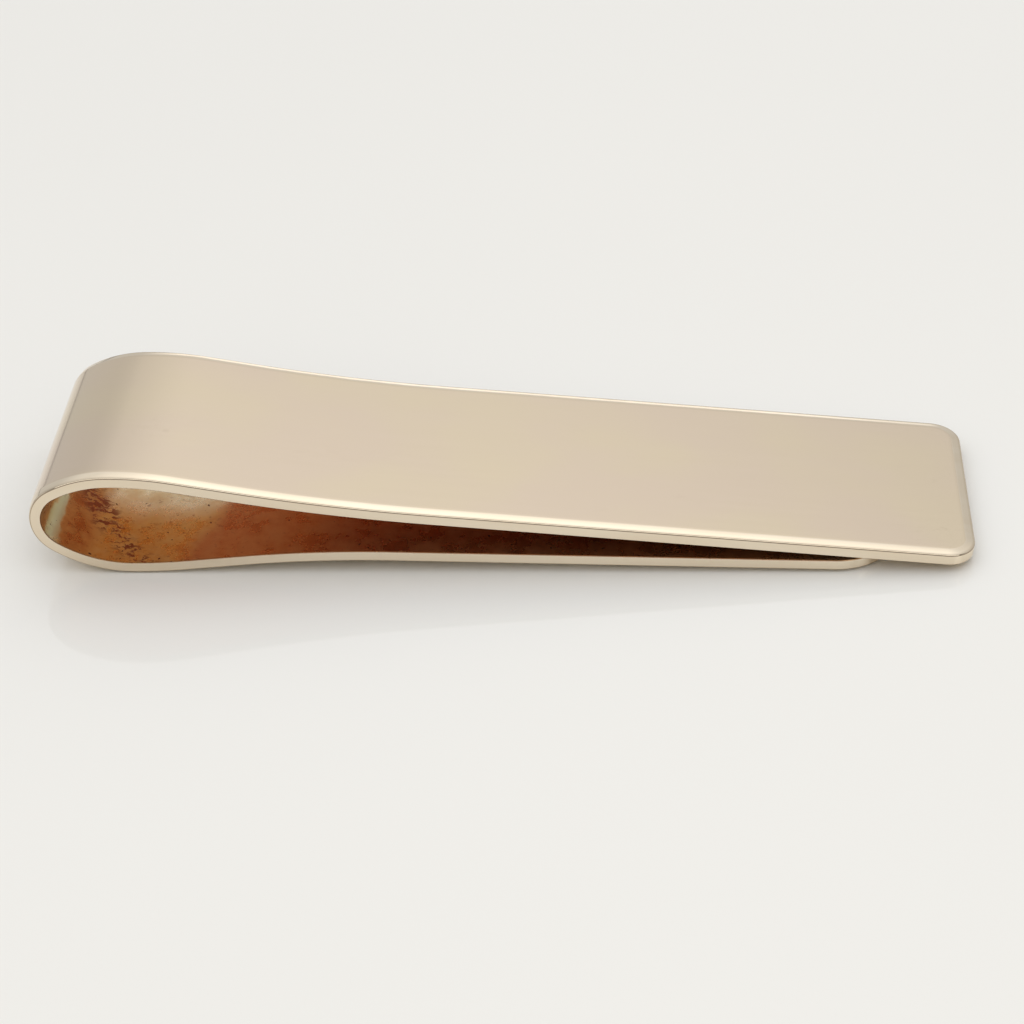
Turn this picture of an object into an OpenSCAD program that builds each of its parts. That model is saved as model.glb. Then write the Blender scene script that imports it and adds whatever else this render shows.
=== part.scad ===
// Money clip: one spring strip of gold alloy, folded into a hairpin.
//
// The clip is a single strip with no fasteners. It works by bending, so it is divided here at its
// three flex lines into four pieces that meet face to face: the back leaf, the lower and upper
// halves of the loop, and the front leaf. Each flex line lies on the strip's outer skin, so opening
// the clip parts the faces on the inner side and never presses one piece into the next.
//
// +X runs from the loop to the tips, +Z up through the leaves, and Y across the strip. The origin
// is the middle of the underside's box. The clip lies on its loop and on the tip of its back leaf.

/* [Overall] */
// Length from the loop's nose to the front leaf's tip
clip_l = 50.8; // [42:0.1:62]
// Width of the strip
clip_w = 12.7; // [9:0.1:18]
// Height of the loop over its outer skin
loop_h = 6.4; // [5.3:0.1:8.4]

/* [Strip] */
// Thickness of the metal
strip_t = 0.72; // [0.5:0.01:1]
// Polished bevel along the outer face's edges
face_bevel = 0.17; // [0.05:0.01:0.3]
// Small break along the inner face's edges
inner_break = 0.04; // [0.02:0.01:0.12]

/* [Loop] */
// Radius of the nose over its outer skin
nose_r = 2.4; // [1.5:0.1:2.9]
// Where the nose sits in the loop's height: 0.5 is midway
nose_share = 0.535; // [0.47:0.005:0.57]
// Radius of the loop between the nose and its crest, front side
front_shoulder_r = 7; // [5:0.1:9]
// Radius of the loop between the nose and its crest, back side
back_shoulder_r = 7.5; // [5:0.1:9]

/* [Necks] */
// Straight run of each neck, with its flex line at the middle
neck_run = 3; // [1:0.1:5]
// Radius over the loop's crest, front side
front_crest_r = 18; // [10:0.5:24]
// How steeply the front neck falls, in degrees
front_fall = 11; // [8:0.5:14]
// Radius of the sway between the front neck and its leaf
front_sway_r = 115; // [60:5:160]
// Radius over the loop's crest, back side
back_crest_r = 30; // [15:1:45]
// How steeply the back neck draws in, in degrees
back_fall = 5.5; // [4:0.5:8]
// Radius of the sway between the back neck and its leaf
back_sway_r = 68; // [40:2:90]

/* [Leaves] */
// Radius of the front leaf's corners
front_corner_r = 1.6; // [1:0.1:4]
// Radius of the back leaf's corners
back_corner_r = 3.5; // [1:0.1:4]
// How far the back leaf stops short of the front leaf's tip
back_short = 4; // [2:0.1:10]
// Clearance between the leaves where the back leaf's tip meets the front leaf
tip_gap = 0.03; // [0.01:0.01:0.2]

/* [Hidden] */
$fn = 360;
front_h = loop_h * (1 - nose_share);
back_h = loop_h * nose_share;
half_w = clip_w / 2;
nose = [-clip_l / 2, 0, 90];
// Every second stretch of the strip is this much slimmer all round and runs on this far into its
// neighbours, so that the stretches join cleanly into one solid
seat = 0.002;
lap = 0.01;

// Each half of the strip is followed along its outer skin from the nose towards its tip, with the
// nose at height 0 and the half's own crest upwards. The back half is then turned over. A point of
// the way is [x, z, heading], the heading in degrees above +X. A stretch is [bend, size]: bend 0 is
// a straight of that length, and any other bend is a radius turned through that many degrees. A
// plus bend has its centre on the inner side, and a minus bend on the outer side.

// The point reached by going along one stretch
function along(at, stretch) =
    let (bend = stretch[0], size = stretch[1], h = at[2], h2 = h - sign(bend) * size)
    bend == 0
    ? [at[0] + size * cos(h), at[1] + size * sin(h), h]
    : [at[0] + bend * (sin(h) - sin(h2)), at[1] - bend * (cos(h) - cos(h2)), h2];

// The point reached after the first n stretches of a way
function reached(way, start, n) = n == 0 ? start : along(reached(way, start, n - 1), way[n - 1]);

// A short distance as a size for a stretch of this bend
function size_of(distance, bend) = bend == 0 ? distance : distance / abs(bend) * 180 / PI;

// The point on the inner skin, at a depth under a point of the outer skin
function under(at, depth) = [at[0] + depth * sin(at[2]), at[1] - depth * cos(at[2])];

// How far the nose turns before the shoulder takes over, so that the crest comes to height h
function nose_turn(h, shoulder_r) = asin((shoulder_r - h) / (shoulder_r - nose_r));

// The way from the nose over the crest to the flex line, halfway along the straight neck
function loop_way(h, shoulder_r, crest_r, fall) =
    let (turn = nose_turn(h, shoulder_r))
    [[nose_r, turn], [shoulder_r, 90 - turn], [crest_r, fall], [0, neck_run / 2]];

// The fall of a leaf that leaves the neck's sway smoothly and passes at a set depth over a point
function leaf_fall(neck_end, sway_r, target, depth) =
    let (
        centre = under(neck_end, -sway_r),
        x = centre[0] - target[0],
        z = centre[1] - target[1]
    )
    atan2(x, z) + acos((sway_r + depth) / norm([x, z]));

// The way from the neck's flex line to the leaf's tip, which ends at tip_x
function leaf_way(neck_end, sway_r, fall, tip_x) =
    let (
        sway = [-sway_r, -neck_end[2] - fall],
        leaf_start = along(neck_end, sway)
    )
    [[0, neck_run / 2], sway, [0, (tip_x - leaf_start[0]) / cos(fall)]];

// The back half: its leaf comes down to the ground at its tip
back_loop_way = loop_way(back_h, back_shoulder_r, back_crest_r, back_fall);
back_flex = reached(back_loop_way, nose, 4);
back_neck_end = along(back_flex, [0, neck_run / 2]);
back_foot = [clip_l / 2 - back_short - face_bevel, back_h];
back_leaf_fall = leaf_fall(back_neck_end, back_sway_r, back_foot, 0);
back_tip_x = back_foot[0] + face_bevel * cos(back_leaf_fall);
back_leaf_way = leaf_way(back_neck_end, back_sway_r, back_leaf_fall, back_tip_x);
back_tip = under(reached(back_leaf_way, back_flex, 3), strip_t);

// The front half: its leaf comes down onto the back leaf's tip
front_loop_way = loop_way(front_h, front_shoulder_r, front_crest_r, front_fall);
front_flex = reached(front_loop_way, nose, 4);
front_neck_end = along(front_flex, [0, neck_run / 2]);
tip_seen_from_front = [back_tip[0], -back_tip[1]];
front_leaf_fall = leaf_fall(front_neck_end, front_sway_r, tip_seen_from_front, strip_t + tip_gap);
front_tip_x = clip_l / 2 + face_bevel * sin(front_leaf_fall);
front_leaf_way = leaf_way(front_neck_end, front_sway_r, front_leaf_fall, front_tip_x);

// The flex lines' places [x, z] in the clip's own frame, and how far each leaf falls in degrees
echo(back_neck_flex = [back_flex[0], back_h - back_flex[1]], back_leaf_fall = back_leaf_fall);
echo(nose_flex = [nose[0], back_h]);
echo(front_neck_flex = [front_flex[0], back_h + front_flex[1]], front_leaf_fall = front_leaf_fall);

// The strip's edge as seen end on, drawn in by an inset: [depth, how far in from the edge]
function edge(inset) =
    let (corner = inset * (sqrt(2) - 1))
    [
        [inset, face_bevel + corner],
        [face_bevel + corner, inset],
        [strip_t - inner_break - corner, inset],
        [strip_t - inset, inner_break + corner]
    ];

// The strip's whole section, with its outer skin at x = skin and its inner side towards side * x
module section(skin, side, inset) {
    one_edge = [for (p = edge(inset)) [skin + side * p[0], half_w - p[1]]];
    other_edge = [for (i = [len(one_edge) - 1:-1:0]) [one_edge[i][0], -one_edge[i][1]]];
    polygon(concat(one_edge, other_edge));
}

// Stand at a point of the way: +X along it and +Z out of the outer skin
module standing_at(at) {
    translate([at[0], 0, at[1]]) rotate([0, -at[2], 0]) children();
}

module straight(length, inset) {
    rotate([0, 90, 0]) linear_extrude(length) section(0, 1, inset);
}

// A bend about a centre on the inner side
module inward_bend(r, turn, inset) {
    translate([0, 0, -r]) rotate([90, 0, 0]) rotate([0, 0, 90 - turn])
        rotate_extrude(angle = turn) section(r, -1, inset);
}

// A bend about a centre on the outer side
module outward_bend(r, turn, inset) {
    translate([0, 0, r]) rotate([90, 0, 0]) rotate([0, 0, -90])
        rotate_extrude(angle = turn) section(r, 1, inset);
}

module stretch(bend, size, inset) {
    if (bend == 0) straight(size, inset);
    if (bend > 0) inward_bend(bend, size, inset);
    if (bend < 0) outward_bend(-bend, size, inset);
}

// The first stretches of a way. Every second one is slimmer and laps into its neighbours.
module strip(way, start, count) {
    for (i = [0:count - 1]) {
        bend = way[i][0];
        slim = i % 2 == 1;
        before = size_of(slim ? lap : 0, bend);
        after = size_of(slim && i < len(way) - 1 ? lap : 0, bend);
        standing_at(along(reached(way, start, i), [bend, -before]))
            stretch(bend, before + way[i][1] + after, slim ? seat : 0);
    }
}

// The strip from a rounded corner's centre out to its edge
module corner_section(r) {
    polygon(concat([[0, 0]], [for (p = edge(0)) [r - p[1], -p[0]]], [[0, -strip_t]]));
}

// A leaf's last straight, with its two corners rounded
module tip(length, corner_r) {
    corner_x = length - corner_r;
    corner_y = half_w - corner_r;
    straight(corner_x, 0);
    translate([corner_x, corner_y, 0])
        rotate_extrude(angle = 90) corner_section(corner_r);
    translate([corner_x, -corner_y, 0]) rotate([0, 0, -90])
        rotate_extrude(angle = 90) corner_section(corner_r);
    translate([corner_x, corner_y, 0]) rotate([90, 0, 0])
        linear_extrude(2 * corner_y) corner_section(corner_r);
}

// Half of the loop, from the nose to the neck's flex line
module half_loop(way) {
    strip(way, nose, len(way));
}

// A leaf, from the neck's flex line to its tip
module leaf(way, flex, corner_r) {
    last = len(way) - 1;
    strip(way, flex, last);
    standing_at(reached(way, flex, last)) tip(way[last][1], corner_r);
}

module front_half() {
    translate([0, 0, back_h]) children();
}

module back_half() {
    translate([0, 0, back_h]) mirror([0, 0, 1]) children();
}

module back_leaf() {
    color("#C9B48E") back_half() leaf(back_leaf_way, back_flex, back_corner_r);
}

module loop_lower() {
    color("#B98A4E") back_half() half_loop(back_loop_way);
}

module loop_upper() {
    color("#D2BE9A") front_half() half_loop(front_loop_way);
}

module front_leaf() {
    color("#D9C9B0") front_half() leaf(front_leaf_way, front_flex, front_corner_r);
}

back_leaf();
loop_lower();
loop_upper();
front_leaf();
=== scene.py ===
# %% [markdown]
# # A folded gold money clip
# The real clip is one strip of gold-coloured metal. A maker cuts a flat blank, rounds its corners,
# bevels its edges, brushes it lengthwise, polishes it, and folds it round into a hairpin. This
# lesson makes it in the same order: a flat blank first, and then Geometry Nodes fold the blank.
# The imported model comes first, because every piece here has to ride on its bodies and stay
# inside its box.

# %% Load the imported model
import math

import bpy
from mathutils import Matrix, Vector


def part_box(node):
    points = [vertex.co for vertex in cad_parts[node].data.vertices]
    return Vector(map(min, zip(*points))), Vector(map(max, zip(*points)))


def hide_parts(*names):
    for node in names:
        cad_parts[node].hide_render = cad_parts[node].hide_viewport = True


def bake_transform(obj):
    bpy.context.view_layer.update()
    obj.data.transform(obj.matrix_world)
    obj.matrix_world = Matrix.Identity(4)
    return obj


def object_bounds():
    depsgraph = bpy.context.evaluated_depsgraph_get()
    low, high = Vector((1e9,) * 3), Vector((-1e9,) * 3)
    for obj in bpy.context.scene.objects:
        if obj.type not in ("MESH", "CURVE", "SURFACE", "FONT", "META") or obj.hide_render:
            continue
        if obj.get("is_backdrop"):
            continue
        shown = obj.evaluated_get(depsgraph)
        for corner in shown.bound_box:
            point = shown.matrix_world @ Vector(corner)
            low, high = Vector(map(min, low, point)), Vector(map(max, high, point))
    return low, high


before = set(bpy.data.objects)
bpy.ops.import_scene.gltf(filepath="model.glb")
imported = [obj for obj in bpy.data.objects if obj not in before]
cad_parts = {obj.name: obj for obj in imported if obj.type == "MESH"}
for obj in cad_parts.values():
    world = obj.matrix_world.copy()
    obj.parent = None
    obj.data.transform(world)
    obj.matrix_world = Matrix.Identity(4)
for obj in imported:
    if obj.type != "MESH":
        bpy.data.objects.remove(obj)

cad_low, cad_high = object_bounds()
clip_length, clip_width, loop_height = cad_high - cad_low
print("clip in mm:", [round(side * 1000, 3) for side in (clip_length, clip_width, loop_height)])

# %% [markdown]
# The overall length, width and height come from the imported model's box. The smaller sizes are
# design choices that the box can't tell: how thick the strip is, how its edges are broken, and the
# radius of each bend. They are the same ones that the model was designed with, in metres. Keeping
# them in one place means that one number changes the whole clip. In each half, shoulder, crest and
# sway are bend radii in order from the nose, fall is how far the crest turns down towards the leaf,
# and corner is the rounding at the tip.

# %% Sizes of the strip and its bends
mm = 0.001
strip_thickness = 0.72 * mm
face_bevel = 0.17 * mm
inner_break = 0.04 * mm
neck_run = 3 * mm
nose_radius = 2.4 * mm
nose_share = 0.535
front_half = {
    "height": loop_height * (1 - nose_share),
    "shoulder": 7 * mm,
    "crest": 18 * mm,
    "fall": math.radians(11),
    "sway": 115 * mm,
    "corner": 1.6 * mm,
}
back_half = {
    "height": loop_height * nose_share,
    "shoulder": 7.5 * mm,
    "crest": 30 * mm,
    "fall": math.radians(5.5),
    "sway": 68 * mm,
    "corner": 3.5 * mm,
}
print("half heights in mm:", [round(half["height"] / mm, 3) for half in (front_half, back_half)])

# %% [markdown]
# Each half of the strip runs from the nose, the loop's far end, over its crest and down to its
# tip. It is a chain of arcs and straights that meet without a kink. Only two things need working
# out: how far the nose arc turns before the wider shoulder takes over, so that the crest comes to
# the right height, and how steeply each leaf falls, so that it just touches what it should. Both
# have an exact answer, so no trial and error is needed.

# %% Follow the bends of one half
def along(at, bend, size):
    """The place and heading after an arc (bend = radius, size = angle) or a straight (bend = 0)."""
    x, z, heading = at
    if bend == 0:
        return (x + size * math.cos(heading), z + size * math.sin(heading), heading)
    turned = heading - math.copysign(size, bend)
    return (
        x + bend * (math.sin(heading) - math.sin(turned)),
        z - bend * (math.cos(heading) - math.cos(turned)),
        turned,
    )


def followed(way, start):
    """The place and heading at the end of a whole chain."""
    for bend, size in way:
        start = along(start, bend, size)
    return start


def loop_chain(half):
    """Nose, shoulder, crest and half of the neck, up to the line that the leaf flexes on."""
    turn = math.asin((half["shoulder"] - half["height"]) / (half["shoulder"] - nose_radius))
    return [
        (nose_radius, turn),
        (half["shoulder"], math.pi / 2 - turn),
        (half["crest"], half["fall"]),
        (0, neck_run / 2),
    ]


def leaf_fall(neck_end, sway, target, depth):
    """How steeply a leaf falls, so that it passes at a set depth over a point."""
    centre_x = neck_end[0] - sway * math.sin(neck_end[2])
    centre_z = neck_end[1] + sway * math.cos(neck_end[2])
    dx, dz = centre_x - target[0], centre_z - target[1]
    return math.atan2(dx, dz) + math.acos((sway + depth) / math.hypot(dx, dz))


nose_point = (-clip_length / 2, 0.0, math.pi / 2)


def finish_chain(half, target, depth):
    """Adds the rest of the neck, the sway and the leaf's direction to a half."""
    half["chain"] = loop_chain(half)
    half["flex"] = followed(half["chain"], nose_point)
    neck_end = along(half["flex"], 0, neck_run / 2)
    half["leaf_fall"] = leaf_fall(neck_end, half["sway"], target, depth)
    half["chain"] += [(0, neck_run / 2), (-half["sway"], -neck_end[2] - half["leaf_fall"])]
    half["leaf_start"] = followed(half["chain"], nose_point)
    print("leaf falls by", round(math.degrees(half["leaf_fall"]), 3), "degrees")


def under(at, depth):
    """The point at a depth under a point of the outer skin."""
    return (at[0] + depth * math.sin(at[2]), at[1] - depth * math.cos(at[2]))

# %% Work out the back half and then the front half
back_short = 4 * mm
tip_gap = 0.03 * mm
back_foot = (clip_length / 2 - back_short - face_bevel, back_half["height"])
finish_chain(back_half, back_foot, 0)


def add_leaf(half, tip_x):
    """Adds the leaf itself, so that its outer skin ends at tip_x."""
    run = (tip_x - half["leaf_start"][0]) / math.cos(half["leaf_fall"])
    half["chain"].append((0, run))
    half["length"] = sum(size * (abs(bend) or 1) for bend, size in half["chain"])
    half["tip"] = followed(half["chain"], nose_point)


add_leaf(back_half, back_foot[0] + face_bevel * math.cos(back_half["leaf_fall"]))
back_tip = under(back_half["tip"], strip_thickness)
finish_chain(front_half, (back_tip[0], -back_tip[1]), strip_thickness + tip_gap)
add_leaf(front_half, clip_length / 2 + face_bevel * math.sin(front_half["leaf_fall"]))
print("flat lengths in mm:", [round(half["length"] / mm, 2) for half in (front_half, back_half)])

# %% [markdown]
# The strip's edge gives the clip its look. The face rolls off a little towards the edge, falls away
# over a soft shoulder that the buffing wheel made, and meets a crisp bevel. Then come the flat
# side and a tiny break on the inner face. The edge is drawn once as a chain of points, each with
# how far in from the edge it is and how deep under the outer face. Corners are rounded by a few
# small steps, with a support point on each side, so that smooth shading stays flat on the flats.

# %% Draw the strip's edge
SUPPORT = 0.2  # how far beyond a rounded corner its support points lie, as a share of its reach


def rounded(points, radii, steps=4):
    """Rounds the inner corners of a chain of 2-D points, with a support point at each side."""
    result = [points[0]]
    for before, corner, after, radius in zip(points, points[1:], points[2:], radii):
        into = (Vector(corner) - Vector(before)).normalized()
        out = (Vector(after) - Vector(corner)).normalized()
        angle = into.angle(out)
        reach = radius * math.tan(angle / 2)
        start, end = Vector(corner) - into * reach, Vector(corner) + out * reach
        side = 1 if into.x * out.y - into.y * out.x > 0 else -1
        centre = start + Vector((-into.y, into.x)) * radius * side
        result.append(tuple(start - into * reach * SUPPORT))
        for i in range(steps + 1):
            spoke = start - centre
            spoke.rotate(Matrix.Rotation(side * angle * i / steps, 2))
            result.append(tuple(centre + spoke))
        result.append(tuple(end + out * reach * SUPPORT))
    return result + [points[-1]]


def falling_curve(start, end_inset, first_slope, last_slope, steps):
    """A smooth fall towards the edge, whose slope changes evenly between two angles."""
    inset, depth = start
    step = (inset - end_inset) / steps
    points = []
    for i in range(steps):
        slope = first_slope + (last_slope - first_slope) * (i + 0.5) / steps
        inset, depth = inset - step, depth + step * math.tan(slope)
        points.append((inset, depth))
    return points

# %% Put the edge together, from the flat face to the inner face
flat_inset = 1.2 * mm
roll_start, shoulder_start = 0.72 * mm, 0.53 * mm
bevel_width = 0.06 * mm
roll_slope, crown_slope, shoulder_slope = (math.radians(angle) for angle in (2.5, 7.5, 11.5))
roll_points = falling_curve((roll_start, 0.0), shoulder_start, 0.0, roll_slope, 8)
shoulder_points = falling_curve(roll_points[-1], bevel_width, crown_slope, shoulder_slope, 5)
bevel_start = shoulder_points[-1]
bevel_top_depth = bevel_start[1]
bevel_foot_depth = bevel_top_depth + bevel_width
crisp_points = rounded(
    [
        shoulder_points[-2],
        bevel_start,
        (0, bevel_foot_depth),
        (0, strip_thickness - inner_break),
        (inner_break, strip_thickness),
        (6 * inner_break, strip_thickness),
    ],
    [0.10 * mm, 0.09 * mm, 0.03 * mm, 0.03 * mm],
)
edge_points = [(flat_inset, 0.0), (roll_start, 0.0)] + roll_points + shoulder_points[:-2]
edge_points += crisp_points + [(flat_inset, strip_thickness)]
print("points in the edge:", len(edge_points), "bevel from depth", round(bevel_top_depth / mm, 3))

# %% [markdown]
# The flat blank is a net of rows. Along the straight part a row is simply a cut across the strip.
# At a rounded corner the rows fan out round the corner's centre, so the bevel keeps its width all
# the way round, as it does under a real file. A net of four-sided faces bends cleanly, and no
# boolean is needed. Each face also notes which finish it has: outer face, polished edge or inner
# face.

# %% Make a flat blank
OUTER, EDGE, INNER = 0, 1, 2
half_width = clip_width / 2


def edge_finish(i):
    """Which finish the face between edge points i and i + 1 has."""
    inset = (edge_points[i][0] + edge_points[i + 1][0]) / 2
    depth = (edge_points[i][1] + edge_points[i + 1][1]) / 2
    if depth > strip_thickness - inner_break:
        return INNER
    return OUTER if inset > shoulder_start and depth < strip_thickness / 2 else EDGE


def row_across(direction, s):
    """One cut across the strip's straight part: a closed ring of points."""
    near = [(direction * s, -half_width + inset, -depth) for inset, depth in edge_points]
    far = [(direction * s, half_width - inset, -depth) for inset, depth in reversed(edge_points)]
    return near + far


def row_round_corner(direction, s, radius, angle):
    """One ring of points that has turned by an angle round both corners of a tip."""
    near, far = [], []
    for inset, depth in edge_points:
        reach = radius - inset
        x = direction * (s + reach * math.sin(angle))
        y = half_width - radius + reach * math.cos(angle)
        near.append((x, -y, -depth))
        far.append((x, y, -depth))
    return near + far[::-1]


def blank(name, rows, capped, tip):
    """A closed mesh from rows of points, with a flat cap at the ends that need one."""
    size = len(rows[0])
    half = size // 2
    points = [point for row in rows for point in row]
    faces, finishes, sharp = [], [], set()
    for r in range(len(rows) - 1):
        for i in range(size):
            j = (i + 1) % size
            faces.append((r * size + i, r * size + j, (r + 1) * size + j, (r + 1) * size + i))
            if i == size - 1:
                finishes.append(OUTER)
            elif i == half - 1:
                finishes.append(INNER)
            else:
                finishes.append(edge_finish(i if i < half else size - 2 - i))
    for end in capped:
        start = end * size
        faces.append(tuple(start + i for i in range(size)))
        finishes.append(EDGE)
        sharp |= {frozenset((start + i, start + (i + 1) % size)) for i in range(size)}
    if tip is not None:
        start = tip * size
        for i in range(half - 1):
            faces.append((start + i, start + i + 1, start + size - 2 - i, start + size - 1 - i))
            finishes.append(edge_finish(i))
    mesh = bpy.data.meshes.new(name)
    mesh.from_pydata(points, [], faces)
    mesh.attributes.new("finish", "INT", "FACE").data.foreach_set("value", finishes)
    edges = mesh.attributes.new("sharp_edge", "BOOLEAN", "EDGE")
    edges.data.foreach_set("value", [frozenset(e.vertices) in sharp for e in mesh.edges])
    return mesh

# %% [markdown]
# The strip is one piece of metal, but it bends on three lines: at each neck and at the nose. A
# piece in this scene can bend between two bodies only, so the strip is made as three lengths, and
# each carries one of the bends. It is made as three lengths, which meet inside the loop, halfway
# between two flex lines.

# %% Choose where the rows lie
seam_lead = 0.01 * mm
seam_offset = 0.4 * mm
no_length = 1e-9
corner_turns = 24
# The longest step between rows on the nose, shoulder, crest, both halves of the neck, sway, leaf.
row_steps = [step * mm for step in (0.1, 0.15, 0.2, 0.15, 0.15, 0.5, 2)]


def stretch_ends(half):
    """The distance from the nose to the end of each arc or straight of a half."""
    ends, total = [0.0], 0.0
    for bend, size in half["chain"]:
        total += size * (abs(bend) or 1)
        ends.append(total)
    return ends


def stations(half, start, end):
    """Distances from the nose for the rows: close together where the strip bends."""
    marks = stretch_ends(half)
    result = []
    for low, high, step in zip(marks, marks[1:], row_steps):
        low, high = max(low, start), min(high, end)
        if high - low > no_length:
            count = math.ceil((high - low) / step)
            result += [low + (high - low) * i / count for i in range(count)]
    return result + [end]


front_seam = stretch_ends(front_half)[2] - seam_offset
back_seam = stretch_ends(back_half)[2] - seam_offset


def leaf_rows(half, direction, seam):
    """Rows from the seam to the leaf's rounded tip."""
    corner = half["corner"]
    straight_end = half["length"] - corner
    distances = [seam, seam + seam_lead] + stations(half, seam, straight_end)[1:]
    angles = [math.pi / 2 * i / corner_turns for i in range(1, corner_turns + 1)]
    straight = [row_across(direction, s) for s in distances]
    return straight + [row_round_corner(direction, straight_end, corner, a) for a in angles]


def loop_rows():
    """Rows from the back seam, round the nose, to the front seam."""
    back = [-s for s in stations(back_half, 0, back_seam)[:0:-1]]
    front = stations(front_half, 0, front_seam)
    distances = [back[0], back[0] + seam_lead] + back[1:]
    distances += front[:-1] + [front[-1] - seam_lead, front[-1]]
    return [row_across(1, s) for s in distances]

# %% Cut the three blanks
front_rows = leaf_rows(front_half, 1, front_seam)
back_rows = leaf_rows(back_half, -1, back_seam)
middle_rows = loop_rows()
blanks = {
    "front_strip": blank("front_blank", front_rows, [0], len(front_rows) - 1),
    "back_strip": blank("back_blank", back_rows, [0], len(back_rows) - 1),
    "loop_strip": blank("loop_blank", middle_rows, [0, len(middle_rows) - 1], None),
}
for name, mesh in blanks.items():
    print(name, "has", len(mesh.polygons), "faces while it is flat")

# %% [markdown]
# ## Finishes
# The clip has one alloy and three finishes: a brushed and buffed outer face, mirror-polished edges,
# and an inside that nobody polishes, which has tarnished. Each is a metal made of small effects:
# colour that drifts, roughness that varies, and fine lines cut in by bump. The brushed lines and
# the stains must run along the strip and round the loop with it, so they all read each point's
# place on the flat blank, which the folding stores.

# %% Small helpers for building node trees
def new_node(tree, kind, **options):
    """Adds a node to a tree and sets the node's options."""
    node = tree.nodes.new(kind)
    for option, value in options.items():
        setattr(node, option, value)
    return node


def feed(tree, socket, value):
    """Joins another node's output to a socket, or gives the socket a plain value."""
    if isinstance(value, bpy.types.NodeSocket):
        tree.links.new(value, socket)
    elif socket.type == "RGBA":
        socket.default_value = (*value, 1.0)
    else:
        socket.default_value = value


def calculate(tree, operation, first, second=0.0):
    """One step of arithmetic on node outputs or plain numbers."""
    node = new_node(tree, "ShaderNodeMath", operation=operation)
    feed(tree, node.inputs[0], first)
    feed(tree, node.inputs[1], second)
    return node.outputs[0]


def distance_from(tree, value, level=0.0):
    """How far a value is from a level, on either side of it."""
    return calculate(tree, "ABSOLUTE", calculate(tree, "SUBTRACT", value, level))


def vector_step(tree, operation, *values):
    """One step of arithmetic on whole vectors."""
    node = new_node(tree, "ShaderNodeVectorMath", operation=operation)
    for socket, value in zip(node.inputs, values):
        feed(tree, socket, value)
    return node.outputs[0]


def split(tree, vector):
    """The X, Y and Z of a vector."""
    node = new_node(tree, "ShaderNodeSeparateXYZ")
    feed(tree, node.inputs[0], vector)
    return node.outputs

# %% [markdown]
# The effects need a few more helpers: a noise stretched by a different scale in each direction, a
# ramp that picks out part of a value's range, a mix of two colours, and relief of a real depth.

# %% Helpers for noise, ramps, colours and relief
def noise(tree, source, scale, detail=2.0, rough=0.5, distortion=0.0, output="Fac"):
    """A noise texture on coordinates that are stretched by a scale in each direction."""
    mapping = new_node(tree, "ShaderNodeMapping")
    feed(tree, mapping.inputs["Vector"], source)
    feed(tree, mapping.inputs["Scale"], scale)
    texture = new_node(tree, "ShaderNodeTexNoise")
    feed(tree, texture.inputs["Vector"], mapping.outputs["Vector"])
    feed(tree, texture.inputs["Scale"], 1.0)
    feed(tree, texture.inputs["Detail"], detail)
    feed(tree, texture.inputs["Roughness"], rough)
    feed(tree, texture.inputs["Distortion"], distortion)
    return texture.outputs[output]


def ramp(tree, value, low, high, to_low=0.0, to_high=1.0):
    """Turns one range of a value into another, smoothly and without overshoot."""
    node = new_node(tree, "ShaderNodeMapRange", interpolation_type="SMOOTHSTEP")
    sockets = ("Value", "From Min", "From Max", "To Min", "To Max")
    for socket, number in zip(sockets, (value, low, high, to_low, to_high)):
        feed(tree, node.inputs[socket], number)
    return node.outputs["Result"]


def mix_colour(tree, amount, first, second):
    """Mixes two colours, each given as a value or as another node's output."""
    node = new_node(tree, "ShaderNodeMix", data_type="RGBA")
    first_colour, second_colour, mixed = node.inputs[6], node.inputs[7], node.outputs[2]
    feed(tree, node.inputs["Factor"], amount)
    feed(tree, first_colour, first)
    feed(tree, second_colour, second)
    return mixed


micron = 0.001 * mm


def relief(tree, *layers):
    """Lays heights from 0 to 1 over each other, each with its own real depth."""
    below = None
    for height, depth in layers:
        node = new_node(tree, "ShaderNodeBump")
        feed(tree, node.inputs["Strength"], 1.0)
        feed(tree, node.inputs["Distance"], depth)
        feed(tree, node.inputs["Height"], height)
        if below is not None:
            feed(tree, node.inputs["Normal"], below)
        below = node.outputs["Normal"]
    return below

# %% Helpers that start and finish a material
def new_material(name, metal):
    """A material, its node tree and its shader."""
    material = bpy.data.materials.new(name)
    material.use_nodes = True
    shader = material.node_tree.nodes["Principled BSDF"]
    shader.inputs["Metallic"].default_value = metal
    return material, material.node_tree, shader


def dress(tree, shader, colour, roughness, normal):
    """Gives a shader its colour, roughness and relief."""
    feed(tree, shader.inputs["Base Color"], colour)
    feed(tree, shader.inputs["Roughness"], roughness)
    feed(tree, shader.inputs["Normal"], normal)


def flat_place(tree):
    """Each point's place on the flat blank: along, across and into the metal."""
    return new_node(tree, "ShaderNodeAttribute", attribute_name="flat_place").outputs["Vector"]

# %% [markdown]
# The outer face was brushed along its length and then buffed until only a trace of the brushing
# is left. It reflects its surroundings clearly, yet slightly softened. Two noises stretched far
# along the strip make the trace: a fine one, and a broader one that lets some lines stand out. A
# few short hairlines from wear cross them at an angle.

# %% The brushed outer face
GOLD = (0.80, 0.675, 0.50)
PINKISH_GOLD = (0.79, 0.655, 0.515)
BRUSHED_TRACE = (0.76, 0.635, 0.47)
SCRATCH = (0.55, 0.44, 0.31)


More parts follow.
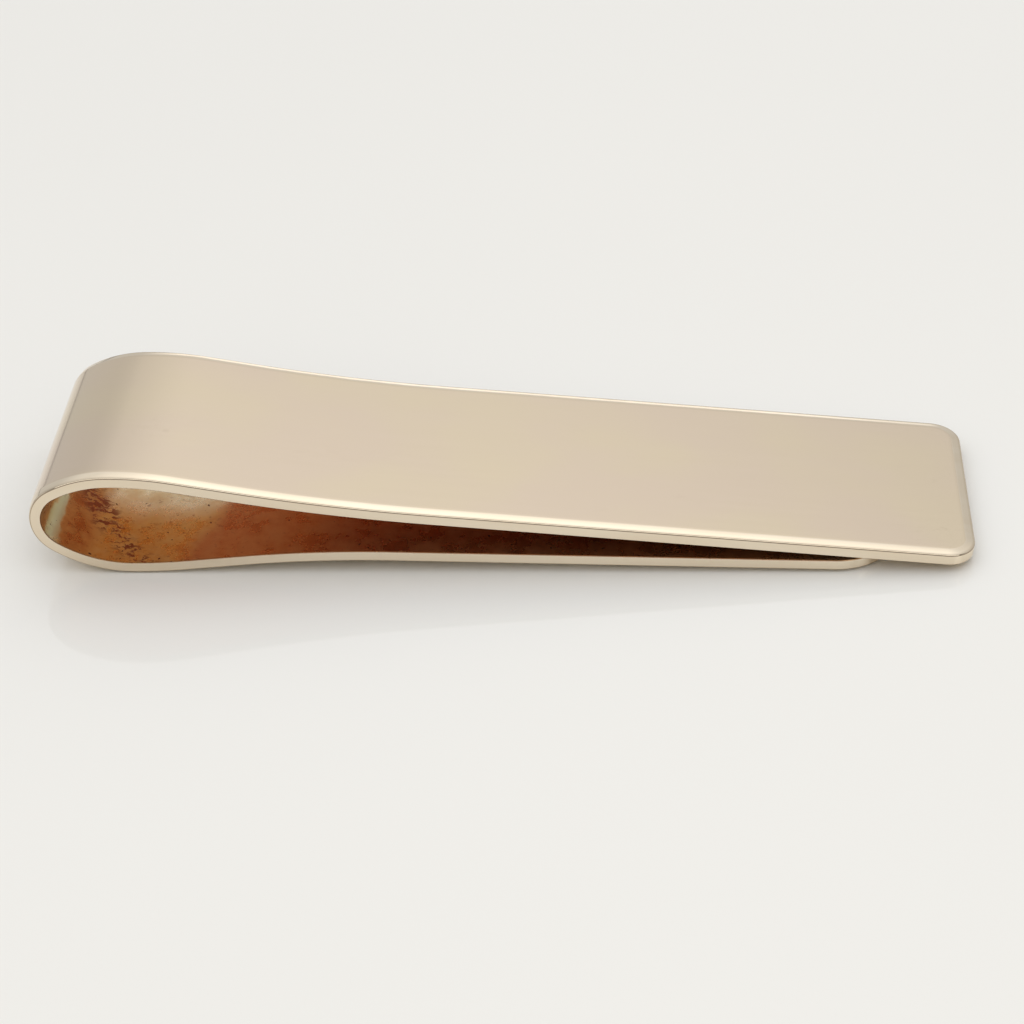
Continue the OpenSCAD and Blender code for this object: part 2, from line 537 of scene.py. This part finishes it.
def thin_lines(tree, source, angle, scale, width):
    """Sparse hairlines in one direction: where a long thin noise crosses a level."""
    turn = new_node(tree, "ShaderNodeMapping")
    feed(tree, turn.inputs["Vector"], source)
    feed(tree, turn.inputs["Rotation"], (0, 0, angle))
    field = noise(tree, turn.outputs["Vector"], scale, 1.0, 0.4, 0.3)
    line = ramp(tree, distance_from(tree, field, 0.5), 0.0, width, 1.0, 0.0)
    patches = noise(tree, source, (170, 260, 0), 1.0)
    return calculate(tree, "MULTIPLY", line, ramp(tree, patches, 0.58, 0.72))


def brushed_gold():
    """The outer face: a faint brushed trace under a buffed shine."""
    material, tree, shader = new_material("brushed_gold", 1.0)
    place = flat_place(tree)
    drift = noise(tree, place, (90, 130, 0))
    fine = noise(tree, place, (110, 14000, 0), 3.0, 0.6)
    broad = noise(tree, place, (60, 2600, 0))
    dents = noise(tree, place, (700, 700, 0), 1.0)
    worn = calculate(
        tree, "MAXIMUM",
        thin_lines(tree, place, 0.35, (260, 1900, 0), 0.004),
        thin_lines(tree, place, -0.8, (420, 1500, 0), 0.003),
    )
    colour = mix_colour(tree, ramp(tree, drift, 0.35, 0.65), GOLD, PINKISH_GOLD)
    colour = mix_colour(tree, ramp(tree, broad, 0.3, 0.7, 0.0, 0.12), colour, BRUSHED_TRACE)
    colour = mix_colour(tree, calculate(tree, "MULTIPLY", worn, 0.25), colour, SCRATCH)
    buffed = ramp(tree, fine, 0.2, 0.8, 0.09, 0.13)
    rough = calculate(tree, "ADD", buffed, calculate(tree, "MULTIPLY", worn, 0.03))
    layers = (
        (fine, 0.4 * micron), (broad, 0.3 * micron), (dents, 1.2 * micron), (worn, 0.3 * micron),
    )
    dress(tree, shader, colour, rough, relief(tree, *layers))
    return material

# %% [markdown]
# The bevel and the sides were run along a polishing wheel. They are brighter and smoother than the
# face, with only small ripples. The two creases along the bevel are drawn darker: a thin brown line
# of painted shade follows each. It is placed by how deep the crease lies in the flat blank.

# %% The polished edges
BRIGHT_GOLD = (0.86, 0.75, 0.59)
DEEPER_GOLD = (0.83, 0.71, 0.545)
# The brown of the painted shade along the two creases of the bevel.
CREASE_PAINTED_SHADE = (0.34, 0.25, 0.16)
crease_lines = (
    {"depth": bevel_foot_depth, "reach": 0.045 * mm, "strength": 0.95},
    {"depth": bevel_top_depth, "reach": 0.03 * mm, "strength": 0.25},
)


def polished_gold():
    """The edges: a bright polish, with painted shade in the creases of the bevel."""
    material, tree, shader = new_material("polished_gold", 1.0)
    place = flat_place(tree)
    drift = noise(tree, place, (140, 900, 900))
    ripples = noise(tree, place, (900, 3000, 3000))
    colour = mix_colour(tree, ramp(tree, drift, 0.3, 0.7), BRIGHT_GOLD, DEEPER_GOLD)
    into_metal = split(tree, place)["Z"]
    for crease in crease_lines:
        away = distance_from(tree, into_metal, -crease["depth"])
        amount = ramp(tree, away, 0.0, crease["reach"], crease["strength"], 0.0)
        colour = mix_colour(tree, amount, colour, CREASE_PAINTED_SHADE)
    rough = ramp(tree, drift, 0.3, 0.7, 0.04, 0.07)
    dress(tree, shader, colour, rough, relief(tree, (ripples, 1.5 * micron)))
    return material

# %% [markdown]
# Inside the loop the metal has never been buffed since it was folded, and skin oils and damp have
# left their marks: a pale straw colour where it is cleanest, amber beside it, rusty brown along the
# leaf, and a drift of dark, branching marks. A pale green-tinged band by the nose is a painted
# highlight. Each stain and the highlight is a soft mask placed by a slope along or across the
# strip, and laid over the one before. Warping the coordinates with a noise makes the edges of the
# stains ragged, as a dried liquid's are.

# %% Lay the stains and a painted highlight in their zones
def warped(tree, source, scale, amount):
    """The coordinates, pushed about by a noise of their own."""
    push = noise(tree, source, (scale, scale, scale), 4.0, output="Color")
    centred = vector_step(tree, "SUBTRACT", push, (0.5, 0.5, 0.5))
    return vector_step(tree, "MULTIPLY_ADD", centred, (amount, amount, amount), source)


def stains_and_highlight(tree, along_strip, across, tint):
    """The colour of the stains and of a painted highlight by the nose. Distances along the strip are
    from the nose: front is positive.
    """
    straw = mix_colour(tree, tint, (0.92, 0.84, 0.60), (0.86, 0.68, 0.38))
    amber = mix_colour(tree, tint, (0.72, 0.41, 0.11), (0.80, 0.56, 0.21))
    rusty_nose = mix_colour(tree, tint, (0.46, 0.19, 0.06), (0.70, 0.39, 0.13))
    rust = mix_colour(tree, tint, (0.52, 0.19, 0.063), (0.64, 0.30, 0.11))
    greenish_highlight, dark_rust, tan, pale_tan = (
        (0.70, 0.68, 0.42), (0.42, 0.15, 0.055), (0.68, 0.49, 0.28), (0.78, 0.62, 0.40),
    )
    highlight_stripe = distance_from(tree, along_strip, -1.5 * mm)
    slanted = calculate(tree, "ADD", along_strip, calculate(tree, "MULTIPLY", across, 0.48))
    # Each zone: the value read, from and to in mm, the amount at each end, and the stain or the
    # painted highlight.
    zones = (
        (across, -2.9, -0.9, 1.0, 0.0, amber),
        (along_strip, -5.0, -3.9, 0.0, 1.0, rusty_nose),
        # This zone is a painted highlight: light along the inner wall of the nose.
        (highlight_stripe, 0.25, 0.6, 0.85, 0.0, greenish_highlight),
        (slanted, -13.2, -11.5, 1.0, 0.0, rust),
        (along_strip, -34, -15, 0.45, 0.0, dark_rust),
        (along_strip, 0.5, 3, 0.0, 1.0, rust),
        (along_strip, 30, 45, 0.0, 1.0, pale_tan),
        (along_strip, -47, -41, 0.8, 0.0, tan),
    )
    colour = straw
    for value, low, high, at_low, at_high, stain in zones:
        amount = ramp(tree, value, low * mm, high * mm, at_low, at_high)
        colour = mix_colour(tree, amount, colour, stain)
    return colour

# %% [markdown]
# Over the stains lie the small things: the branching marks, which keep to a slanting band, a
# mottle of darker dots, a few black specks, and a dark rim of painted shade along both edges of the
# inner face.

# %% The tarnished inside
def tarnished_gold():
    """The inside: stains, a painted highlight, marks, mottle, specks and a dark rim of painted shade.
    """
    material, tree, shader = new_material("tarnished_gold", 0.9)
    place = flat_place(tree)
    ragged = split(tree, warped(tree, place, 420, 2.2 * mm))
    along_strip, across = ragged["X"], ragged["Y"]
    even = (650, 650, 650)
    blotch = noise(tree, warped(tree, place, 300, 0.9 * mm), even, 6.0, 0.66)
    colour = stains_and_highlight(tree, along_strip, across, ramp(tree, blotch, 0.32, 0.66))

    branching = warped(tree, place, 1300, 0.9 * mm)
    strokes = noise(tree, branching, (1300, 3600, 900), 4.0, 0.65, 0.6)
    band_middle = calculate(
        tree, "ADD", calculate(tree, "MULTIPLY", along_strip, 1.45), 4.1 * mm
    )
    band = distance_from(tree, across, band_middle)
    in_band = ramp(tree, band, 0.5 * mm, 2.3 * mm, 1.0, 0.0)
    marks = calculate(tree, "MULTIPLY", in_band, ramp(tree, strokes, 0.49, 0.55))
    mottle = noise(tree, place, (2300, 2600, 900), 5.0, 0.7)
    specks = noise(tree, place, (2900, 2900, 2900), 1.0)
    from_middle = distance_from(tree, split(tree, place)["Y"])
    # A dark rim of painted shade along both edges of the inner face.
    rim_start, rim_full = half_width - 0.08 * mm, half_width - 0.03 * mm
    details = (
        (calculate(tree, "MULTIPLY", marks, 0.92), (0.30, 0.075, 0.022)),
        (ramp(tree, mottle, 0.56, 0.70, 0.0, 0.5), (0.34, 0.12, 0.04)),
        (ramp(tree, specks, 0.735, 0.765), (0.12, 0.04, 0.02)),
        (ramp(tree, from_middle, rim_start, rim_full, 0.0, 0.85), (0.22, 0.10, 0.045)),
    )
    for amount, dark in details:
        colour = mix_colour(tree, amount, colour, dark)
    rough = ramp(tree, blotch, 0.3, 0.7, 0.22, 0.38)
    rough = calculate(tree, "ADD", rough, calculate(tree, "MULTIPLY", marks, 0.1))
    layers = ((blotch, 0.5 * micron), (marks, 3 * micron), (mottle, 0.7 * micron))
    dress(tree, shader, colour, rough, relief(tree, *layers))
    return material


finishes = {
    "Outer finish": brushed_gold(),
    "Edge finish": polished_gold(),
    "Inner finish": tarnished_gold(),
}
print("finishes:", [material.name for material in finishes.values()])

# %% [markdown]
# ## Folding
# A bend turns the strip round a centre under it. What lies before the bend stays, what lies
# within it wraps round, and what lies beyond swings on as a straight. If the bends are made from
# the tip back to the nose, the metal in front of each one is still flat along X, and every bend
# is the same small piece of arithmetic. So one node group makes a bend, and the folding tree
# chains it once for each radius.

# %% A node group that makes one bend
def add_socket(tree, name, kind, is_input=True):
    """Adds one named input or output to a node group."""
    side = "INPUT" if is_input else "OUTPUT"
    return tree.interface.new_socket(name, in_out=side, socket_type=kind)


def bend_group():
    """Wraps what lies after Start round a centre that is Radius under it, over a Length."""
    tree = bpy.data.node_groups.new("Bend the strip once", "GeometryNodeTree")
    add_socket(tree, "Place", "NodeSocketVector")
    for name in ("Start", "Length", "Radius"):
        add_socket(tree, name, "NodeSocketFloat")
    add_socket(tree, "Place", "NodeSocketVector", False)
    source = new_node(tree, "NodeGroupInput").outputs
    place = split(tree, source["Place"])

    def step(operation, first, second=0.0):
        return calculate(tree, operation, first, second)

    ahead = step("SUBTRACT", place["X"], source["Start"])
    within = step("MINIMUM", step("MAXIMUM", ahead, 0.0), source["Length"])
    beyond = step("SUBTRACT", ahead, within)
    angle = step("DIVIDE", within, source["Radius"])
    sine, cosine = step("SINE", angle), step("COSINE", angle)
    reach = step("ADD", source["Radius"], place["Z"])
    along_x = step("ADD", step("MULTIPLY", reach, sine), step("MULTIPLY", beyond, cosine))
    along_z = step("SUBTRACT", step("MULTIPLY", reach, cosine), step("MULTIPLY", beyond, sine))
    joined = new_node(tree, "ShaderNodeCombineXYZ")
    feed(tree, joined.inputs["X"], step("ADD", along_x, source["Start"]))
    feed(tree, joined.inputs["Y"], place["Y"])
    feed(tree, joined.inputs["Z"], step("SUBTRACT", along_z, source["Radius"]))
    feed(tree, new_node(tree, "NodeGroupOutput").inputs["Place"], joined.outputs[0])
    return tree


one_bend = bend_group()
print("nodes in one bend:", len(one_bend.nodes))

# %% [markdown]
# The bends themselves come from the chain of arcs that was worked out above. Each has a name, and
# three sizes that become inputs of the folding tree.

# %% List the bends
def bend_sizes(half, side):
    """Named sizes for each arc of a half: where it starts, how long it is, and its radius."""
    sizes, marks = [], stretch_ends(half)
    arcs = [i for i, (bend, size) in enumerate(half["chain"]) if bend != 0]
    for label, i in zip(("nose", "shoulder", "crest", "sway"), arcs):
        sizes.append((f"{side} {label}", marks[i], marks[i + 1] - marks[i], half["chain"][i][0]))
    return sizes


front_bends = bend_sizes(front_half, "Front")
back_bends = bend_sizes(back_half, "Back")
for label, *sizes in front_bends + back_bends:
    print(label, "start, length and radius in mm:", [round(size / mm, 2) for size in sizes])


def chain_bends(tree, source, place, bends):
    """Makes the bends from the tip back to the nose."""
    for label, *_ in reversed(bends):
        node = new_node(tree, "GeometryNodeGroup", node_tree=one_bend, label=label)
        feed(tree, node.inputs["Place"], place)
        for part in ("Start", "Length", "Radius"):
            feed(tree, node.inputs[part], source[f"{label} {part.lower()}"])
        place = node.outputs["Place"]
    return place

# %% [markdown]
# The folding tree stores each point's flat place for the materials. It makes the front bends for
# the metal in front of the nose, and the back bends, turned end for end, for the metal behind it.
# Then it stands the nose upright in its place, and gives each face its finish.

# %% Fold a point of the blank
def folded_place(tree, source, flat):
    """Where each point of the flat blank comes to lie in the finished clip."""
    end_for_end, upside_down = (-1, 1, 1), (1, 1, -1)
    front_place = chain_bends(tree, source, flat, front_bends)
    turned = vector_step(tree, "MULTIPLY", flat, end_for_end)
    back_place = chain_bends(tree, source, turned, back_bends)
    choose = new_node(tree, "GeometryNodeSwitch", input_type="VECTOR")
    behind_nose = calculate(tree, "LESS_THAN", split(tree, flat)["X"], 0.0)
    feed(tree, choose.inputs["Switch"], behind_nose)
    feed(tree, choose.inputs["False"], front_place)
    feed(tree, choose.inputs["True"], vector_step(tree, "MULTIPLY", back_place, end_for_end))
    lying = split(tree, vector_step(tree, "MULTIPLY", choose.outputs[0], upside_down))
    upright = new_node(tree, "ShaderNodeCombineXYZ")
    for from_axis, to_axis in zip("ZYX", "XYZ"):
        feed(tree, upright.inputs[to_axis], lying[from_axis])
    return vector_step(tree, "ADD", upright.outputs[0], source["Nose place"])


def painted(tree, source, geometry):
    """Gives each face the material of the finish that it notes."""
    kind = new_node(tree, "GeometryNodeInputNamedAttribute", data_type="INT")
    kind.inputs["Name"].default_value = "finish"
    for number, name in enumerate(finishes):
        match = new_node(tree, "FunctionNodeCompare", data_type="INT", operation="EQUAL")
        whole_number_a, whole_number_b = match.inputs[2], match.inputs[3]
        feed(tree, whole_number_a, kind.outputs["Attribute"])
        feed(tree, whole_number_b, number)
        paint = new_node(tree, "GeometryNodeSetMaterial")
        feed(tree, paint.inputs["Geometry"], geometry)
        feed(tree, paint.inputs["Selection"], match.outputs["Result"])
        feed(tree, paint.inputs["Material"], source[name])
        geometry = paint.outputs["Geometry"]
    return geometry

# %% Build the folding tree
def fold_tree():
    """The whole tree: store the flat place, fold, shade smooth, realize and paint."""
    tree = bpy.data.node_groups.new("Fold the strip", "GeometryNodeTree")
    add_socket(tree, "Geometry", "NodeSocketGeometry")
    for label, *_ in front_bends + back_bends:
        for part in ("start", "length", "radius"):
            add_socket(tree, f"{label} {part}", "NodeSocketFloat")
    add_socket(tree, "Nose place", "NodeSocketVector")
    for name in finishes:
        add_socket(tree, name, "NodeSocketMaterial")
    add_socket(tree, "Geometry", "NodeSocketGeometry", False)
    source = new_node(tree, "NodeGroupInput").outputs
    flat = new_node(tree, "GeometryNodeInputPosition").outputs[0]
    store = new_node(
        tree, "GeometryNodeStoreNamedAttribute", data_type="FLOAT_VECTOR", domain="POINT"
    )
    store.inputs["Name"].default_value = "flat_place"
    feed(tree, store.inputs["Geometry"], source["Geometry"])
    feed(tree, store.inputs["Value"], flat)
    folded = new_node(tree, "GeometryNodeSetPosition")
    feed(tree, folded.inputs["Geometry"], store.outputs["Geometry"])
    feed(tree, folded.inputs["Position"], folded_place(tree, source, flat))
    geometry = folded.outputs["Geometry"]
    for kind in ("GeometryNodeSetShadeSmooth", "GeometryNodeRealizeInstances"):
        node = new_node(tree, kind)
        feed(tree, node.inputs["Geometry"], geometry)
        geometry = node.outputs["Geometry"]
    output = new_node(tree, "NodeGroupOutput")
    feed(tree, output.inputs["Geometry"], painted(tree, source, geometry))
    return tree


folding = fold_tree()
print("nodes in the folding tree:", len(folding.nodes))

# %% [markdown]
# Each blank is now folded. The modifier's inputs are set by their identifiers before the result is
# read. The folded shape is then copied into a plain mesh, and the blank and its modifier go away,
# so that what is left is a finished piece whose place is in its mesh.

# %% Fold the three lengths
def fold(name, flat_mesh):
    """Folds one blank, and returns the finished piece as a plain mesh."""
    flat = bpy.data.objects.new(name + "_flat", flat_mesh)
    bpy.context.scene.collection.objects.link(flat)
    modifier = flat.modifiers.new("Fold", "NODES")
    modifier.node_group = folding
    values = {"Nose place": (nose_point[0], 0.0, back_half["height"]), **finishes}
    for label, *sizes in front_bends + back_bends:
        for part, size in zip(("start", "length", "radius"), sizes):
            values[f"{label} {part}"] = size
    for socket in folding.interface.items_tree:
        if socket.in_out == "INPUT" and socket.name in values:
            modifier[socket.identifier] = values[socket.name]
    evaluated = flat.evaluated_get(bpy.context.evaluated_depsgraph_get())
    mesh = bpy.data.meshes.new_from_object(evaluated)
    mesh.name = name
    piece = bpy.data.objects.new(name, mesh)
    bpy.context.scene.collection.objects.link(piece)
    bpy.data.objects.remove(flat)
    low = [min(v.co[i] for v in mesh.vertices) / mm for i in range(3)]
    high = [max(v.co[i] for v in mesh.vertices) / mm for i in range(3)]
    print(name, "box in mm", [round(v, 3) for v in low], [round(v, 3) for v in high])
    return piece


front_strip = fold("front_strip", blanks["front_strip"])
back_strip = fold("back_strip", blanks["back_strip"])
loop_strip = fold("loop_strip", blanks["loop_strip"])
for node in ("front_leaf", "back_leaf", "loop_upper", "loop_lower"):
    low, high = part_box(node)
    print(node, "box in mm", [round(v / mm, 3) for v in low], [round(v / mm, 3) for v in high])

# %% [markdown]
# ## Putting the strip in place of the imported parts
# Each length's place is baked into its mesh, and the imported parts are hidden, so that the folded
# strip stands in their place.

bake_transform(back_strip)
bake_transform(loop_strip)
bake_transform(front_strip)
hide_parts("back_leaf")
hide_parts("loop_lower", "loop_upper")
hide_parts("front_leaf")

# %% [markdown]
# ## The table and the light
# A polished clip has no look of its own: it shows what is round it. The table is pale and glossy,
# so the clip is mirrored in it. The studio is a white tent, and the tent gives nearly all the
# light that the gold reflects.

# %% The white table
def table_material():
    """A pale, glossy table top, very slightly cloudy and uneven."""
    material, tree, shader = new_material("white_table", 0.0)
    place = new_node(tree, "ShaderNodeTexCoord").outputs["Object"]
    cloudy = noise(tree, place, (9, 9, 9), 3.0)
    uneven = noise(tree, place, (160, 160, 160))
    tint = ramp(tree, cloudy, 0.3, 0.7)
    colour = mix_colour(tree, tint, (0.855, 0.85, 0.825), (0.865, 0.86, 0.835))
    rough = ramp(tree, cloudy, 0.3, 0.7, 0.03, 0.06)
    dress(tree, shader, colour, rough, relief(tree, (uneven, 4 * micron)))
    return material


table_radius, table_sides = 2.0, 96
turns = [2 * math.pi * i / table_sides for i in range(table_sides)]
rim = [(table_radius * math.cos(a), table_radius * math.sin(a), cad_low.z) for a in turns]
table_mesh = bpy.data.meshes.new("table")
table_mesh.from_pydata(rim, [], [tuple(range(table_sides))])
table_mesh.materials.append(table_material())
table_top = bpy.data.objects.new("table", table_mesh)
bpy.context.scene.collection.objects.link(table_top)
table_top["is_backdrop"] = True
print("table radius in m:", table_radius, "at height", round(cad_low.z / mm, 3), "mm")

# %% [markdown]
# The far wall of the tent gets brighter upwards and towards its middle, which gives the top leaf
# its soft change of tone. It is brightest overhead, a little more so to the right, and the soft
# shoulder of the near edge shows that part as a line of light. A low, narrow glow does the same for
# the far edge's shoulder, and a darker seam marks the horizon. Each step below reads the direction
# from the clip: X is to the right, Y is away from the viewer and Z is up.

# %% The tent's far wall
world = bpy.data.worlds.new("tent")
bpy.context.scene.world = world
world.use_nodes = True
tent = world.node_tree
direction = split(tent, new_node(tent, "ShaderNodeTexCoord").outputs["Generated"])
right, away, up = direction["X"], direction["Y"], direction["Z"]
brighter_up = ramp(tent, up, 0.40, 0.72, 0.735, 1.0)
darker_sides = ramp(tent, distance_from(tent, right, 0.03), 0.0, 0.36, 1.0, 0.84)
extra_overhead = calculate(
    tent, "MULTIPLY", ramp(tent, up, 0.70, 0.86), ramp(tent, right, -0.15, 0.05, 0.24, 0.46)
)
horizon_seam = ramp(tent, distance_from(tent, up), 0.0, 0.05, 0.6, 1.0)
far_wall = calculate(tent, "MULTIPLY", brighter_up, darker_sides)
far_wall = calculate(tent, "MULTIPLY", far_wall, calculate(tent, "ADD", extra_overhead, 1.0))
far_wall = calculate(tent, "MULTIPLY", far_wall, horizon_seam)
low_glow = calculate(
    tent, "MULTIPLY",
    ramp(tent, distance_from(tent, up, 0.24), 0.01, 0.05, 0.6, 0.0),
    ramp(tent, distance_from(tent, right), 0.10, 0.24, 1.0, 0.0),
)
far_wall = calculate(tent, "ADD", far_wall, low_glow)

# %% [markdown]
# The wall on the viewer's side is darker, which helps the thin dark lines beside the bevel. The
# light that matt surfaces scatter is set apart from what the gold reflects, so that the table can
# be lit evenly and brightly without washing the gold out. What the camera itself sees beyond the
# table is a plain pale wall.

# %% The viewer's side, the fill and the backdrop
LOW_FILL, HIGH_FILL = (0.40, 0.26, 0.02), (1.15, 1.165, 1.19)
BACKDROP = (0.82, 0.815, 0.80)
viewer_wall = ramp(tent, up, 0.38, 0.60, 0.62, 0.22)
is_far = ramp(tent, away, -0.2, 0.3)
reflected = mix_colour(tent, is_far, viewer_wall, far_wall)
fill = mix_colour(tent, ramp(tent, up, 0.0, 0.8), LOW_FILL, HIGH_FILL)
ray = new_node(tent, "ShaderNodeLightPath").outputs
lit = mix_colour(tent, ray["Is Diffuse Ray"], reflected, fill)
seen = mix_colour(tent, ray["Is Camera Ray"], lit, BACKDROP)
background = tent.nodes["Background"]
feed(tent, background.inputs["Color"], seen)
feed(tent, background.inputs["Strength"], 1.0)
print("nodes in the tent:", len(tent.nodes))

# %% [markdown]
# One wide, narrow soft box hangs above the viewer. It lights up the near bevel as a long bright
# line. Its power follows from its size and its brightness, and it leaves the table alone.

# %% The soft box above the viewer
box_size, box_brightness = (2.0, 0.30), 1.3
box_elevation, box_distance = math.radians(56), 0.9
box_light = bpy.data.lights.new("near_box", "AREA")
box_light.shape = "RECTANGLE"
box_light.size, box_light.size_y = box_size
box_light.energy = box_brightness * math.pi * box_size[0] * box_size[1]
near_box = bpy.data.objects.new("near_box", box_light)
bpy.context.scene.collection.objects.link(near_box)
towards_box = Vector((0, -math.cos(box_elevation), math.sin(box_elevation)))
near_box.location = towards_box * box_distance
near_box.rotation_euler = (-towards_box).to_track_quat("-Z", "Y").to_euler()
near_box.visible_diffuse = False
print("soft box power in W:", round(box_light.energy, 3))

# %% [markdown]
# The view is a close one from the front and above, a little to the right of the middle, through a
# long lens. It is also rolled slightly, so that the near edge runs downhill to the right.

# %% The camera
camera_data = bpy.data.cameras.new("camera")
camera_data.lens = 88.6
camera_data.sensor_width = 36.0
camera_data.clip_start = 0.005
camera_data.clip_end = 20.0
camera = bpy.data.objects.new("camera", camera_data)
bpy.context.scene.collection.objects.link(camera)
bpy.context.scene.camera = camera


def aim_camera(place, heading, pitch, roll_angle):
    """Looks along a heading and down by a pitch, and rolls the view clockwise by an angle."""
    level = Vector((math.sin(heading), math.cos(heading), 0))
    ahead = level * math.cos(pitch) - Vector((0, 0, math.sin(pitch)))
    right = Vector((math.cos(heading), -math.sin(heading), 0))
    down = ahead.cross(right)
    turned_right = right * math.cos(roll_angle) + down * math.sin(roll_angle)
    turned_down = down * math.cos(roll_angle) - right * math.sin(roll_angle)
    turn = Matrix((turned_right, -turned_down, -ahead)).transposed()
    camera.matrix_world = Matrix.Translation(place) @ turn.to_4x4()


view_middle = Vector(((cad_low.x + cad_high.x) / 2, cad_low.y, cad_low.z))
camera_offset = Vector((10.58, -108.15, 81.72)) * mm
view_heading, view_pitch, view_roll = (math.radians(angle) for angle in (-5.17, 35.57, 3.165))
aim_camera(view_middle + camera_offset, view_heading, view_pitch, view_roll)
print("camera at, in mm:", [round(v / mm, 1) for v in camera.matrix_world.translation])

# %% Plain colours, without a film look
bpy.context.scene.view_settings.view_transform = "Standard"

# %% [markdown]
# Last, the finished clip's box is set against the imported model's box, and how far each side has
# moved is printed.

# %% Print how the box has changed
low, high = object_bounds()
changes = [after - before for after, before in zip([*low, *high], [*cad_low, *cad_high])]
print("box change in mm:", [round(change / mm, 4) for change in changes])
